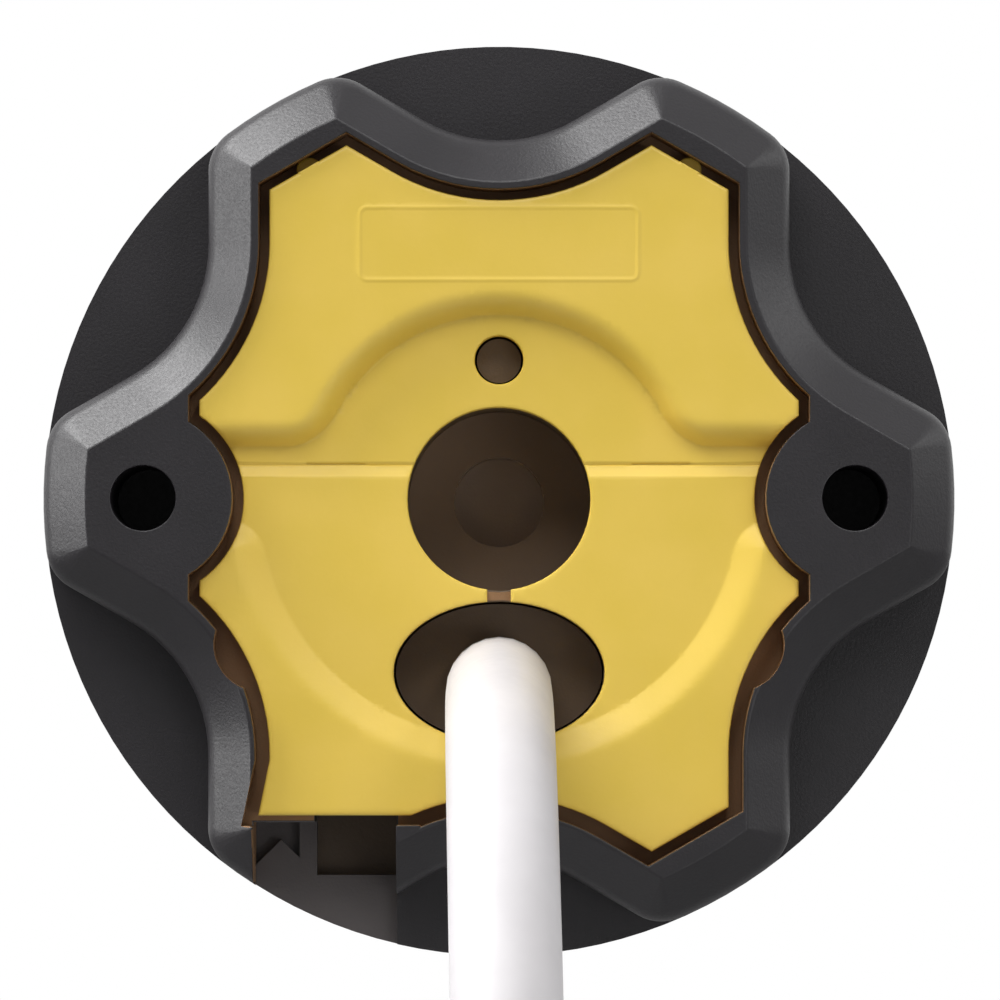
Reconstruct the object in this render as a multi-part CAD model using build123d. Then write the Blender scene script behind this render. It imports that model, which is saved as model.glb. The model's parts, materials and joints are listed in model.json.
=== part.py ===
"""Tubular roller blind motor: star-shaped head, motor tube, drive train and mains lead.

The motor's axis is Y. The head's mounting face is the plane Y = 0 and looks along -Y,
the tube runs along +Y, and Z is up. Lengths are in millimetres. A "depth" is a distance
behind the mounting face, and the axial depths follow one another from the head to the
output end, so that a change of one length moves everything behind it.
"""

from build123d import *
import os
from math import cos, pi, radians, sin, sqrt, tan

# Head: star, flange, neck and spigot, one moulding
screw_spacing = 48
screw_hole_radius = 2.2
arm_count = 6
star_depth = 9
arm_tip_radius = 30.9
arm_end_wall = 5.1
cover_arm_half_width = 3
valley_radius = 14.5
cover_gap = 0.72
rim_width = 3.5
rim_chamfer = 3
arm_corner_radius = 3.2
lug_radius = 6
lug_reach = 3.05
flange_overhang = 0.2
flange_thickness = 3.6
pocket_depth = 4.4
neck_step = 1.9
neck_length = 18.4
spigot_length = 14
head_wall = 2.6
socket_wall = 1.8

# Grip reliefs in the pocket's edge and the radial cable outlet, bottom left
relief_radius = 3.05
relief_distance = 19
relief_angle = 31.5
lower_gap = 0.95
lower_gap_start = 12.7
corner_gap = 1.15
outlet_left = 16.65
outlet_right = 6.95
outlet_top = 21.9
outlet_sink = 1.2
outlet_well_reach = 25.6
outlet_well_width = 5.5
outlet_well_sink = 2.9
outlet_rib_width = 1.2
gusset_peak_offset = 14.9
gusset_peak_reach = 23.2
gusset_foot_reach = 24.9
gusset_sink = 2.3
rim_corner_offset = 5.3
rim_corner_top = 22.05

# Round sockets of the head
centre_socket_radius = 6.2
centre_socket_depth = 14
centre_pilot_radius = 3.1
centre_pilot_depth = 20

# Yellow front cover, as levels behind the mounting face
cover_face = 0.6
dish_face = 2.4
lower_step = 0.2
lower_rise = 0.8
lower_edge_fillet = 0.7
arch_radius = 12.4
shoulder_height = 3.5
shoulder_corner_radius = 2.4
step_height = 2.1
ridge_radius = 16.9
ridge_top = -1.6
cover_edge_fillet = 1.5
trimmed_arm_height = 21.4
trimmed_arm_flare = 0.75
trimmed_arm_flare_height = 3.7
peg_radius = 0.85
peg_inset = 0.05
peg_face = 3
peg_clearance = 0.15
slit_width = 1.6

# Oval cable opening and the plug behind it
opening_half_width = 7.15
opening_half_height = 4.8
opening_drop = 11.75
cable_drop = 12.9
cable_diameter = 7.2
cable_clearance = 0.6
plug_face = 8
plug_length = 16
plug_clearance = 0.12
contact_width = 1.6
contact_thickness = 0.8
contact_pitch = 2.8
contact_clearance = 0.05
contact_count = 4

# Setting button
button_height = 9.4
button_radius = 1.5
button_hole_radius = 1.65
button_face = 4.5
button_collar_radius = 2.6
button_collar_thickness = 1
button_collar_gap = 0.1
button_tip_radius = 1
button_tip_length = 2
button_travel = 0.8
switch_gap = 0.3
switch_half_width = 3.5
switch_length = 5
switch_hole_depth = 2.5
switch_rise = 3

# Motor tube
tube_radius = 22.5
tube_wall = 1
module_clearance = 0.1
rivet_shank_radius = 1.5
rivet_head_radius = 2.4
rivet_head_height = 0.7
rivet_grip = 2.5
rivet_clearance = 0.05
rivet_count = 3

# Crown, the free ring that follows the roller tube at the head end
crown_bore_clearance = 0.1
crown_side_play = 0.3
crown_lip_height = 3.1
crown_lip_thickness = 1.5
drive_rise = 0.9
key_slot_width = 2.4
key_slot_depth = 1.1
key_slot_count = 8

# Control board and its cradle
board_start_gap = 2
board_side_room = 1.5
board_front_room = 19
component_gap = 4
board_thickness = 1.6
board_height = -4
cradle_wall = 1.5
cradle_tail = 27
rail_rise = 1.6
rail_groove = 1
rail_clearance = 0.1
mains_connector_half_width = 6.5
mains_connector_length = 12
mains_connector_room = 0.9
relay_half_width = 7.5
relay_length = 10
relay_height = 15
relay_gap = 2
relay_count = 2
transformer_half_width = 9
transformer_length = 16
transformer_height = 14
smoothing_radius = 5
smoothing_length = 16
smoothing_offset = 7
chip_half_width = 5
chip_length = 8
chip_height = 1.2
chip_offset = 8
chip_gap = 2
chip_count = 2
motor_connector_half_width = 5
motor_connector_length = 9
motor_connector_height = 8

# Run capacitor and its cup
capacitor_length = 48
capacitor_boss_radius = 4
capacitor_boss_length = 2
capacitor_clearance = 0.1
cup_wall = 1.8
cup_floor = 2.5
cup_flange = 2
cup_notch_gap = 0.5

# Motor leads over the cup
lead_radius = 0.9
lead_pitch = 2.4
lead_wall_room = 3.2
lead_start_height = 2
lead_run_in = 6
lead_rise = 12
lead_notch_half_width = 5
lead_notch_room = 0.9
lead_count = 3

# Encoder
encoder_board_room = 5.4
encoder_board_thickness = 1.2
encoder_post_radius = 1.6
encoder_post_length = 8
encoder_post_inset = 3
encoder_post_count = 3
encoder_bore_radius = 4
encoder_sensor_size = 4
encoder_sensor_height = 1.5
encoder_sensor_inset = 3
magnet_radius = 7
magnet_length = 4
magnet_gap = 2

# Induction motor
bell_wall = 3
bell_rim = 1.5
bell_boss_radius = 7
bush_radius = 5
bush_length = 8
fit_clearance = 0.02
running_clearance = 0.04
stator_length = 56
air_gap = 0.35
stator_lip = 1.65
slot_count = 12
slot_width = 3
slot_depth = 4.6
stator_back = 2.8
slot_liner = 0.1
winding_overhang = 8
winding_bulge = 0.5
bell_play = 0.5
cutout_thickness = 2
cutout_width = 7
cutout_height = 4
rotor_ring_inset = 1
rotor_ring_width = 4.5
rotor_ring_length = 4
shaft_radius = 3

# Brake
brake_collar_gap = 1
brake_collar_radius = 8
brake_collar_thickness = 3
brake_spring_length = 8
brake_spring_wire_radius = 0.6
brake_spring_radius = 5.4
brake_spring_turns = 3
brake_spring_gap = 0.05
brake_spring_sides = 6
armature_room = 4.9
armature_thickness = 4
lining_width = 5.5
lining_thickness = 1.5
lining_gap = 0.05
brake_wall = 2
brake_floor = 3
brake_shaft_hole = 5
armature_hole_radius = 2
armature_hole_inset = 5
armature_hole_count = 3

# Planetary gearbox, three like stages
gear_case_wall = 4.51
sun_teeth = 12
planet_teeth = 21
ring_teeth = 54
planet_count = 3
stage_count = 3
tooth_addendum_share = 0.75
tooth_dedendum_share = 1.15
pressure_angle = 20
tooth_thinning = 0.16
gear_width = 8
sun_wall = 0.91
sun_run_in = 1
carrier_gap = 1.15
carrier_thickness = 3
planet_pin_radius = 1.5
gear_play = 0.4
gear_plate_thickness = 4
pinion_clearance = 0.75

# Output end
output_radius = 6
output_shaft_gap = 0.5
output_bush_radius = 9
output_bush_flange_radius = 11
output_bush_flange = 1.5
end_cap_length = 16
end_cap_flange = 2
wheel_gap = 0.5
wheel_length = 20
wheel_rim = 2
wheel_hub_radius = 9
wheel_web = 2
wheel_web_count = 6
wheel_square = 8.4
wheel_square_clearance = 0.05
wheel_screw_radius = 2
wheel_screw_length = 12
wheel_screw_head_radius = 6.5
wheel_screw_head = 2.4
wheel_screw_clearance = 0.05
hex_sides = 6
hex_socket_width = 4
hex_socket_depth = 1.4

# Mains lead: hanging stretch, put-away coil and tail
coil_gap = 1.7
coil_outer_radius = 49.2
coil_layers = 4
coil_half_turns = 4
cable_sides = 8
tie_width = 6
tie_thickness = 1.2
tie_clearance = 0.4
conductor_radius = 1.15
conductor_spacing = 2.6
conductor_length = 26
bend_share = 0.45
gap_sample = 4
gap_window = 1.5

overrun = 1

# Lengths along the axis, each from the one before
flange_back = star_depth + flange_thickness
tube_start = flange_back + neck_length
spigot_end = tube_start + spigot_length
plug_back = plug_face + plug_length
cavity_start = plug_back + plug_clearance + socket_wall
board_start = cavity_start + board_start_gap
relays_start = board_start + board_front_room
transformer_start = relays_start + (relay_length + relay_gap) * relay_count - relay_gap + component_gap
smoothing_start = transformer_start + transformer_length + component_gap
chips_start = smoothing_start + component_gap
chips_end = chips_start + (chip_length + chip_gap) * chip_count - chip_gap
motor_connector_start = chips_end + component_gap
board_end = motor_connector_start + motor_connector_length
cradle_start = spigot_end
cradle_end = board_end + cradle_tail
cup_end = cradle_end + capacitor_length + cup_floor
encoder_board_end = cup_end + encoder_board_thickness
front_bell_start = encoder_board_end + encoder_post_length
front_bell_inside = front_bell_start + bell_wall
stator_start = front_bell_inside + bell_play + cutout_thickness + winding_overhang
stator_end = stator_start + stator_length
rear_bell_inside = stator_end + winding_overhang + cutout_thickness + bell_play
rear_bell_end = rear_bell_inside + bell_wall
collar_start = rear_bell_end + brake_collar_gap
collar_end = collar_start + brake_collar_thickness
armature_start = collar_end + brake_spring_length + brake_spring_gap * 2
armature_end = armature_start + armature_thickness
lining_start = armature_end + lining_gap
brake_inside = lining_start + lining_thickness
brake_end = brake_inside + brake_floor
gear_plate_end = brake_end + gear_plate_thickness
stage_pitch = gear_width + carrier_thickness + gear_play * 2
stage_starts = [gear_plate_end + gear_play + stage_pitch * stage for stage in range(stage_count)]
ring_end = stage_starts[-1] + stage_pitch
cap_end = ring_end + end_cap_length
tube_end = cap_end
flange_end = cap_end + end_cap_flange
wheel_start = flange_end + output_bush_flange + wheel_gap
wheel_end = wheel_start + wheel_length

# Radii that follow from others
arm_step = pi / arm_count
cover_arm_reach = arm_tip_radius - arm_end_wall
peg_distance = cover_arm_reach - peg_inset
trimmed_arm_side = cover_arm_reach * cos(arm_step * 2) + cover_arm_half_width * sin(arm_step * 2)
flange_radius = arm_tip_radius + flange_overhang
neck_radius = tube_radius - neck_step
cavity_radius = neck_radius - head_wall
board_width = 2 * (cavity_radius - board_side_room)
drive_radius = tube_radius + drive_rise
crown_lip_radius = drive_radius + crown_lip_height
tube_bore = tube_radius - tube_wall
module_radius = tube_bore - module_clearance
cable_radius = cable_diameter / 2
shaft_hole_radius = shaft_radius + running_clearance
gear_module = (module_radius - gear_case_wall) / (ring_teeth / 2 + tooth_dedendum_share)
tooth_addendum = tooth_addendum_share * gear_module
tooth_dedendum = tooth_dedendum_share * gear_module
sun_pitch_radius = gear_module * sun_teeth / 2
planet_pitch_radius = gear_module * planet_teeth / 2
ring_pitch_radius = gear_module * ring_teeth / 2
planet_circle = sun_pitch_radius + planet_pitch_radius
sun_bore_radius = sun_pitch_radius - tooth_dedendum - sun_wall
pinion_hole_radius = sun_pitch_radius + tooth_addendum + pinion_clearance
carrier_radius = ring_pitch_radius - tooth_addendum - carrier_gap
lead_height = module_radius - lead_wall_room
lead_notch_height = lead_height - lead_radius - lead_notch_room
cup_radius = lead_notch_height - cup_notch_gap
capacitor_radius = cup_radius - cup_wall - capacitor_clearance
encoder_board_radius = module_radius - encoder_board_room
encoder_post_circle = encoder_board_radius - encoder_post_inset
slot_outer_radius = module_radius - stator_back
slot_inner_radius = slot_outer_radius - slot_depth
rotor_radius = slot_inner_radius - stator_lip - air_gap
winding_inner_radius = slot_inner_radius - winding_bulge
winding_outer_radius = slot_outer_radius + winding_bulge
rotor_ring_outer_radius = rotor_radius - rotor_ring_inset
rotor_ring_inner_radius = rotor_ring_outer_radius - rotor_ring_width
armature_radius = module_radius - brake_wall - armature_room
armature_hole_circle = armature_radius - armature_hole_inset
lining_inner_radius = armature_radius - lining_width
lug_x = screw_spacing / 2 - lug_reach
board_top = board_height + board_thickness / 2
sun_start = gear_plate_end - sun_run_in
rivet_depths = (tube_start + spigot_length / 2, ring_end + end_cap_length / 2)


def slab(face, start, end):
    """A front-view outline (X right, Z up) given a thickness, from one depth to another."""
    return extrude(Plane.XZ.offset(-start) * face, amount=end - start, dir=(0, 1, 0))


def rod(radius, start, end, x=0, z=0):
    """A round bar along the axis, or beside it."""
    return slab(Pos(x, z) * Circle(radius), start, end)


def ring(outer, inner, start, end):
    """A plain ring or tube on the axis."""
    return slab(Circle(outer) - Circle(inner), start, end)


def area(left, right, bottom, top):
    """A rectangle of the front view, by its sides."""
    return Pos((left + right) / 2, (bottom + top) / 2) * Rectangle(right - left, top - bottom)


def block(left, right, start, end, bottom, top):
    """A box by its six sides."""
    return slab(area(left, right, bottom, top), start, end)


def around(piece, count, first=0):
    """Copies of a piece at equal angles about the axis, clockwise as seen from the front."""
    return [Rot(0, first + 360 * step / count, 0) * piece for step in range(count)]


def joined(pieces):
    """One node from several pieces."""
    whole = pieces[0]
    for piece in pieces[1:]:
        whole += piece
    return whole


def radial_bar(radius, depth, inner, outer):
    """A round bar that points upwards from the axis, between two distances from it."""
    base = Plane(origin=(0, depth, inner), z_dir=(0, 0, 1))
    return extrude(base * Circle(radius), amount=outer - inner)


def star_face(grow, reach):
    """The six-armed outline: flat arm ends, straight flanks and round valleys.

    grow moves flanks and valleys outwards from the cover's own outline, and reach is
    how far the arms go from the axis.
    """
    flank_x = cos(2 * arm_step)
    flank_z = sin(2 * arm_step)
    flank_distance = cover_arm_reach * flank_x + cover_arm_half_width * flank_z
    valley_distance = (valley_radius + flank_distance) / cos(arm_step)
    half_width = (flank_distance + grow - reach * flank_x) / flank_z
    radius = valley_radius - grow
    edges = []
    for arm in range(arm_count):
        turn = Rot(0, 0, 360 * arm / arm_count)
        centre_x = valley_distance * cos(arm_step)
        centre_z = valley_distance * sin(arm_step)
        low = Vector(reach, -half_width)
        high = Vector(reach, half_width)
        meets = Vector(centre_x - radius * flank_x, centre_z - radius * flank_z)
        bottom_x = centre_x - radius * cos(arm_step)
        bottom_z = centre_z - radius * sin(arm_step)
        leaves = Vector(centre_x - radius, centre_z)
        next_low = Vector(
            reach * flank_x + half_width * flank_z,
            reach * flank_z - half_width * flank_x,
        )
        edges += [
            turn * Edge.make_line(low, high),
            turn * Edge.make_line(high, meets),
            turn * Edge.make_three_point_arc(meets, Vector(bottom_x, bottom_z), leaves),
            turn * Edge.make_line(leaves, next_low),
        ]
    return Sketch() + Face(Wire(edges))


def lug_faces(grow):
    """The two screw lugs, which fill the side arms and round off about the screws."""
    far = arm_tip_radius + overrun
    side = area(lug_x - grow, far, -far, far) + Pos(screw_spacing / 2, 0) * Circle(lug_radius + grow)
    return side + mirror(side, Plane.YZ)


def opening_face(grow):
    """The oval opening, with room for the cable at its lower edge."""
    oval = Pos(0, -opening_drop) * Ellipse(opening_half_width + grow, opening_half_height + grow)
    return oval + Pos(0, -cable_drop) * Circle(cable_radius + cable_clearance + grow)


def peg_faces(radius):
    """Two round spots at the ends of the upper arms."""
    x = peg_distance * sin(arm_step)
    z = peg_distance * cos(arm_step)
    return Pos(x, z) * Circle(radius) + Pos(-x, z) * Circle(radius)


def contact_faces(grow):
    """The plug's blade contacts, side by side."""
    width = contact_thickness + 2 * grow
    height = contact_width + 2 * grow
    blades = Sketch()
    for index in range(contact_count):
        x = (index - (contact_count - 1) / 2) * contact_pitch
        blades += Pos(x, -opening_drop) * Rectangle(width, height)
    return blades


def trimmed_arm_face(grow):
    """The flared corner of the lower left arm, which the cable outlet cuts short."""
    top = -trimmed_arm_height + trimmed_arm_flare_height
    bottom = -trimmed_arm_height - min(grow, cover_gap)
    upper_left = -trimmed_arm_side - min(grow, lower_gap)
    lower_left = -trimmed_arm_side - trimmed_arm_flare - grow
    right = -outlet_right - overrun
    points = [(upper_left, top), (right, top), (right, bottom), (lower_left, bottom)]
    return Sketch() + Face(Wire.make_polygon(points))


def pocket_face():
    """The hollow that holds the cover, wider along its lower sides, with two grip reliefs."""
    pocket = star_face(cover_gap, cover_arm_reach + cover_gap)
    far = arm_tip_radius
    wide = star_face(lower_gap, cover_arm_reach + cover_gap)
    pocket += wide & area(-far, far, -far, -lower_gap_start)
    pocket += trimmed_arm_face(corner_gap) & area(-far, -outlet_right, -far, 0)
    x = relief_distance * cos(radians(relief_angle))
    z = relief_distance * sin(radians(relief_angle))
    pocket += Pos(x, -z) * Circle(relief_radius) + Pos(-x, -z) * Circle(relief_radius)
    pocket -= area(-outlet_right, -rim_corner_offset, -far, -rim_corner_top)
    return pocket - lug_faces(0)


def outlet_well_faces():
    """The two hollows in the cable outlet's floor: one beside the gusset, one deeper."""
    well_left = -outlet_right - outlet_well_width
    deep = area(well_left, -outlet_right, -outlet_well_reach, -opening_drop)
    rib_left = well_left - outlet_rib_width
    slope = (gusset_foot_reach - gusset_peak_reach) / (outlet_left - gusset_peak_offset)
    rib_foot = gusset_peak_reach + (gusset_peak_offset + rib_left) * slope
    points = [
        (-outlet_left, -outlet_top),
        (-outlet_left, -gusset_foot_reach),
        (-gusset_peak_offset, -gusset_peak_reach),
        (rib_left, -rib_foot),
        (rib_left, -outlet_top),
    ]
    return Sketch() + Face(Wire.make_polygon(points)), deep


def head_casing():
    """Star, flange, neck and spigot in one moulding, with its pocket, sockets and holes."""
    outline = star_face(cover_gap + rim_width, arm_tip_radius) & Circle(arm_tip_radius)
    corners = [corner for corner in outline.vertices() if Vector(*corner).length > flange_radius - overrun]
    star = slab(fillet(corners, arm_corner_radius), 0, star_depth)
    star = chamfer(star.faces().sort_by(Axis.Y)[0].edges(), rim_chamfer)
    head = star + rod(flange_radius, star_depth, flange_back)
    head += rod(neck_radius, flange_back, tube_start)
    head += rod(module_radius, tube_start, spigot_end)
    head -= rod(cavity_radius, cavity_start, spigot_end + overrun)
    head -= slab(pocket_face(), -overrun, pocket_depth)
    head -= slab(peg_faces(peg_radius + peg_clearance), peg_face - peg_clearance, pocket_depth)
    below = -arm_tip_radius - overrun
    outlet_back = star_depth + outlet_sink
    head -= block(-outlet_left, -outlet_right, -overrun, outlet_back, below, -outlet_top)
    beside, deep = outlet_well_faces()
    head -= slab(beside, 0, star_depth + gusset_sink)
    head -= slab(deep, 0, star_depth + outlet_well_sink)
    head -= rod(centre_socket_radius, 0, centre_socket_depth)
    head -= rod(centre_pilot_radius, 0, centre_pilot_depth)
    head -= slab(opening_face(0), 0, plug_back + plug_clearance)
    head -= slab(contact_faces(contact_clearance), plug_face, cavity_start + overrun)
    head -= rod(button_hole_radius, 0, cavity_start + overrun, z=button_height)
    for side in (-1, 1):
        x = side * screw_spacing / 2
        head -= rod(screw_hole_radius, -overrun, flange_back + overrun, x=x)
    for hole in rivet_holes(tube_start + spigot_length / 2):
        head -= hole
    return head


def front_cover():
    """Yellow cover: raised upper field, recessed dish, lower field and its two pegs."""
    far = cover_arm_reach
    outline = star_face(0, cover_arm_reach) + trimmed_arm_face(0)
    outline -= lug_faces(cover_gap) + area(-far, 0, -far, -trimmed_arm_height)
    cover = slab(outline, dish_face, pocket_depth)
    lower = outline & area(-far, far, -far, step_height)
    lower_face = dish_face - lower_step
    cover += slab(lower, lower_face, dish_face)
    outer = (outline & area(-far, far, -far, ridge_top)) - Circle(ridge_radius)
    rise = slab(outer, lower_face - lower_rise, dish_face)
    front = [face for face in rise.faces() if face.center().Y < lower_face - lower_rise / 2]
    inner = [edge for face in front for edge in face.edges() if on_circle(edge, ridge_radius)]
    cover += fillet(inner, lower_edge_fillet)
    upper = (outline & area(-far, far, shoulder_height, far)) - Circle(arch_radius)
    corners = [corner for corner in upper.vertices() if Vector(*corner).length < arch_radius + lower_step]
    raised = slab(fillet(corners, shoulder_corner_radius), cover_face, dish_face)
    front = raised.faces().sort_by(Axis.Y)[0]
    inner = [edge for edge in front.edges() if faces_the_dish(edge)]
    cover += fillet(inner, cover_edge_fillet)
    cover += slab(peg_faces(peg_radius), peg_face, pocket_depth)
    cover -= rod(centre_socket_radius, 0, pocket_depth + overrun)
    cover -= rod(button_hole_radius, 0, pocket_depth + overrun, z=button_height)
    cover -= slab(opening_face(0), 0, pocket_depth + overrun)
    slit = area(-slit_width / 2, slit_width / 2, -opening_drop, 0)
    cover -= slab(slit, 0, pocket_depth + overrun)
    return cover


def on_circle(edge, radius):
    """True for an edge whose middle lies on a circle about the axis."""
    place = edge @ 0.5
    return abs(sqrt(place.X**2 + place.Z**2) - radius) < lower_step


def faces_the_dish(edge):
    """True for the arch, the two shoulders and the round corners between them."""
    place = edge @ 0.5
    beside = sqrt(place.X**2 + place.Z**2) < arch_radius + shoulder_corner_radius
    return beside or abs(place.Z - shoulder_height) < lower_step


def cable_plug():
    """The moulded plug on the mains lead, pushed into the oval socket."""
    return slab(opening_face(-plug_clearance), plug_face, plug_back)


def plug_contacts():
    """Four blades from the plug to the board's connector."""
    return slab(contact_faces(0), plug_back, board_start)


def setting_button():
    """Push rod of the setting button: face, collar behind the wall and switch tip."""
    collar_start = cavity_start + button_collar_gap
    collar_end = collar_start + button_collar_thickness
    tip_end = collar_end + button_tip_length
    button = rod(button_radius, button_face, collar_start, z=button_height)
    button += rod(button_collar_radius, collar_start, collar_end, z=button_height)
    return button + rod(button_tip_radius, collar_end, tip_end, z=button_height)


def setting_switch():
    """The switch on the board's front edge that the setting button presses."""
    start = cavity_start + button_collar_gap + button_collar_thickness + button_travel + switch_gap
    top = button_height + switch_rise
    body = block(-switch_half_width, switch_half_width, start, start + switch_length, board_top, top)
    hole_radius = button_tip_radius + plug_clearance
    return body - rod(hole_radius, start, start + switch_hole_depth, z=button_height)


def crown():
    """Free ring round the neck, which the roller tube turns at the head end."""
    start = flange_back + crown_side_play
    end = tube_start - crown_side_play
    bore = neck_radius + crown_bore_clearance
    body = ring(drive_radius, bore, start, end)
    body -= joined(key_slots(start + crown_lip_thickness, end))
    return body + ring(crown_lip_radius, bore, start, start + crown_lip_thickness)


def key_slots(start, end):
    """The slots that take the keys of a roller tube."""
    half = key_slot_width / 2
    top = drive_radius + overrun
    slot = block(-half, half, start, end + overrun, drive_radius - key_slot_depth, top)
    return around(slot, key_slot_count)


def rivet_holes(depth):
    """Radial holes through the tube into what it is riveted to."""
    radius = rivet_shank_radius + rivet_clearance
    inner = tube_radius - rivet_grip - rivet_clearance
    hole = radial_bar(radius, depth, inner, tube_radius + overrun)
    return around(hole, rivet_count, first=180 / rivet_count)


def motor_tube():
    """Thin steel tube from the head's neck to the end cap."""
    tube = ring(tube_radius, tube_bore, tube_start, tube_end)
    for depth in rivet_depths:
        for hole in rivet_holes(depth):
            tube -= hole
    return tube


def tube_rivets():
    """Rivets with low heads, at both ends of the tube."""
    rivets = []
    for depth in rivet_depths:
        head = radial_bar(rivet_head_radius, depth, tube_radius, tube_radius + rivet_head_height)
        top = head.faces().sort_by(Axis.Z)[-1]
        head = chamfer(top.edges(), rivet_head_height / 2)
        shank = radial_bar(rivet_shank_radius, depth, tube_radius - rivet_grip, tube_radius)
        rivets += around(head + shank, rivet_count, first=180 / rivet_count)
    return Compound(rivets)


def board_cradle():
    """Trough under the board, with a grooved rail along each side."""
    shell = Circle(module_radius) - Circle(module_radius - cradle_wall)
    rail_top = board_top + rail_rise
    rail_bottom = board_height - board_thickness / 2 - rail_rise
    shell &= area(-module_radius, module_radius, -module_radius, rail_top)
    inside = board_width / 2 - rail_groove
    rails = area(inside, module_radius, rail_bottom, rail_top)
    rails += area(-module_radius, -inside, rail_bottom, rail_top)
    rails &= Circle(module_radius)
    half = board_width / 2 + rail_clearance
    thick = board_thickness / 2 + rail_clearance
    groove = area(-half, half, board_height - thick, board_height + thick)
    return slab(shell + rails - groove, cradle_start, cradle_end)


def control_board():
    """The printed circuit board, from the head's cavity to near the cradle's end."""
    half = board_width / 2
    bottom = board_height - board_thickness / 2
    return block(-half, half, board_start, board_end, bottom, board_top)


def on_board(start, offset, half_width, length, height):
    """A component's body on the board's upper side."""
    left = offset - half_width
    right = offset + half_width
    return block(left, right, start, start + length, board_top, board_top + height)


def relays():
    """The two relays that switch up and down."""
    first = on_board(relays_start, 0, relay_half_width, relay_length, relay_height)
    step = relay_length + relay_gap
    return Compound([Pos(0, index * step, 0) * first for index in range(relay_count)])


def power_transformer():
    """The low-voltage supply's transformer."""
    half_width = transformer_half_width
    return on_board(transformer_start, 0, half_width, transformer_length, transformer_height)


def smoothing_capacitor():
    """Round capacitor lying on the board."""
    height = board_top + smoothing_radius
    end = smoothing_start + smoothing_length
    return rod(smoothing_radius, smoothing_start, end, x=-smoothing_offset, z=height)


def control_chips():
    """The controller and the radio chip, side by side along the board."""
    first = on_board(chips_start, chip_offset, chip_half_width, chip_length, chip_height)
    step = chip_length + chip_gap
    return Compound([Pos(0, index * step, 0) * first for index in range(chip_count)])


def mains_connector():
    """The socket under the board's front edge that the plug's blades reach."""
    half = mains_connector_half_width
    bottom = -sqrt((cavity_radius - mains_connector_room) ** 2 - half**2)
    end = board_start + mains_connector_length
    return block(-half, half, board_start, end, bottom, board_height - board_thickness / 2)


def motor_connector():
    """The terminal block at the board's rear edge."""
    half = motor_connector_half_width
    top = board_top + motor_connector_height
    return block(-half, half, motor_connector_start, board_end, board_top, top)


def notched(face):
    """An outline with the notch that lets the motor leads pass along its top."""
    half = lead_notch_half_width
    return face - area(-half, half, lead_notch_height, tube_radius)


def capacitor_cup():
    """Cup that holds the run capacitor in the middle of the tube."""
    bore = capacitor_radius + capacitor_clearance
    cup = ring(cup_radius, bore, cradle_end, cup_end - cup_floor)
    cup += rod(cup_radius, cup_end - cup_floor, cup_end)
    flange = notched(Circle(module_radius) - Circle(bore))
    cup += slab(flange, cradle_end, cradle_end + cup_flange)
    return cup + slab(notched(Circle(module_radius)), cup_end - cup_flange, cup_end)


def run_capacitor():
    """The motor's run capacitor, with the boss that holds its terminals."""
    can = rod(capacitor_radius, cradle_end, cup_end - cup_floor)
    return can + rod(capacitor_boss_radius, cradle_end - capacitor_boss_length, cradle_end)


def motor_leads():
    """Three wires from the board over the capacitor cup to the front winding."""
    leads = []
    for index in range(lead_count):
        x = (index - (lead_count - 1) / 2) * lead_pitch
        low = Vector(x, board_end, lead_start_height)
        turn = Vector(x, board_end + lead_run_in, lead_start_height)
        high = Vector(x, board_end + lead_run_in + lead_rise, lead_height)
        end = Vector(x, stator_start - winding_overhang, lead_height)
        leads.append(cord_tube([low, turn, high, end], lead_radius, cable_sides))
    return Compound(leads)


def encoder_board():
    """Round board with the sensor that counts the rotor's turns."""
    board = ring(encoder_board_radius, encoder_bore_radius, cup_end, encoder_board_end)
    half = encoder_sensor_size / 2
    end = encoder_board_end + encoder_sensor_height
    top = encoder_board_radius - encoder_sensor_inset
    return board + block(-half, half, encoder_board_end, end, top - encoder_sensor_size, top)


def encoder_magnet():
    """Ring magnet on the rotor's front end."""
    end = front_bell_start - magnet_gap
    return ring(magnet_radius, shaft_radius + fit_clearance, end - magnet_length, end)


def front_bell():
    """Front end shield of the motor, with the posts that carry the encoder board."""
    bore = bush_radius + fit_clearance
    bell = slab(notched(Circle(module_radius)), front_bell_start, front_bell_inside)
    bell += ring(module_radius, module_radius - bell_rim, front_bell_inside, stator_start)
    bell += rod(bell_boss_radius, front_bell_start, front_bell_start + bush_length)
    bell -= rod(bore, front_bell_start - overrun, front_bell_start + bush_length + overrun)
    post = rod(encoder_post_radius, encoder_board_end, front_bell_start, z=encoder_post_circle)
    return joined([bell] + around(post, encoder_post_count, first=180 / encoder_post_count))


def rear_bell():
    """Rear end shield of the motor."""
    bore = bush_radius + fit_clearance
    start = rear_bell_end - bush_length
    bell = rod(module_radius, rear_bell_inside, rear_bell_end)
    bell += ring(module_radius, module_radius - bell_rim, stator_end, rear_bell_inside)
    bell += rod(bell_boss_radius, start, rear_bell_end)
    return bell - rod(bore, start - overrun, rear_bell_end + overrun)


def motor_bushes():
    """The two sintered bushes that the rotor runs in."""
    front = ring(bush_radius, shaft_hole_radius, front_bell_start, front_bell_start + bush_length)
    rear = ring(bush_radius, shaft_hole_radius, rear_bell_end - bush_length, rear_bell_end)
    return Compound([front, rear])


def slot_faces(shrink):
    """The stator's winding slots, all round."""
    half = slot_width / 2 - shrink
    slot = area(-half, half, slot_inner_radius + shrink, slot_outer_radius - shrink)
    return [Rot(0, 0, 360 * step / slot_count) * slot for step in range(slot_count)]


def stator_core():
    """The laminated stator with its slots."""
    face = Circle(module_radius) - Circle(rotor_radius + air_gap)
    for slot in slot_faces(0):
        face -= slot
    return slab(face, stator_start, stator_end)


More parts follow.
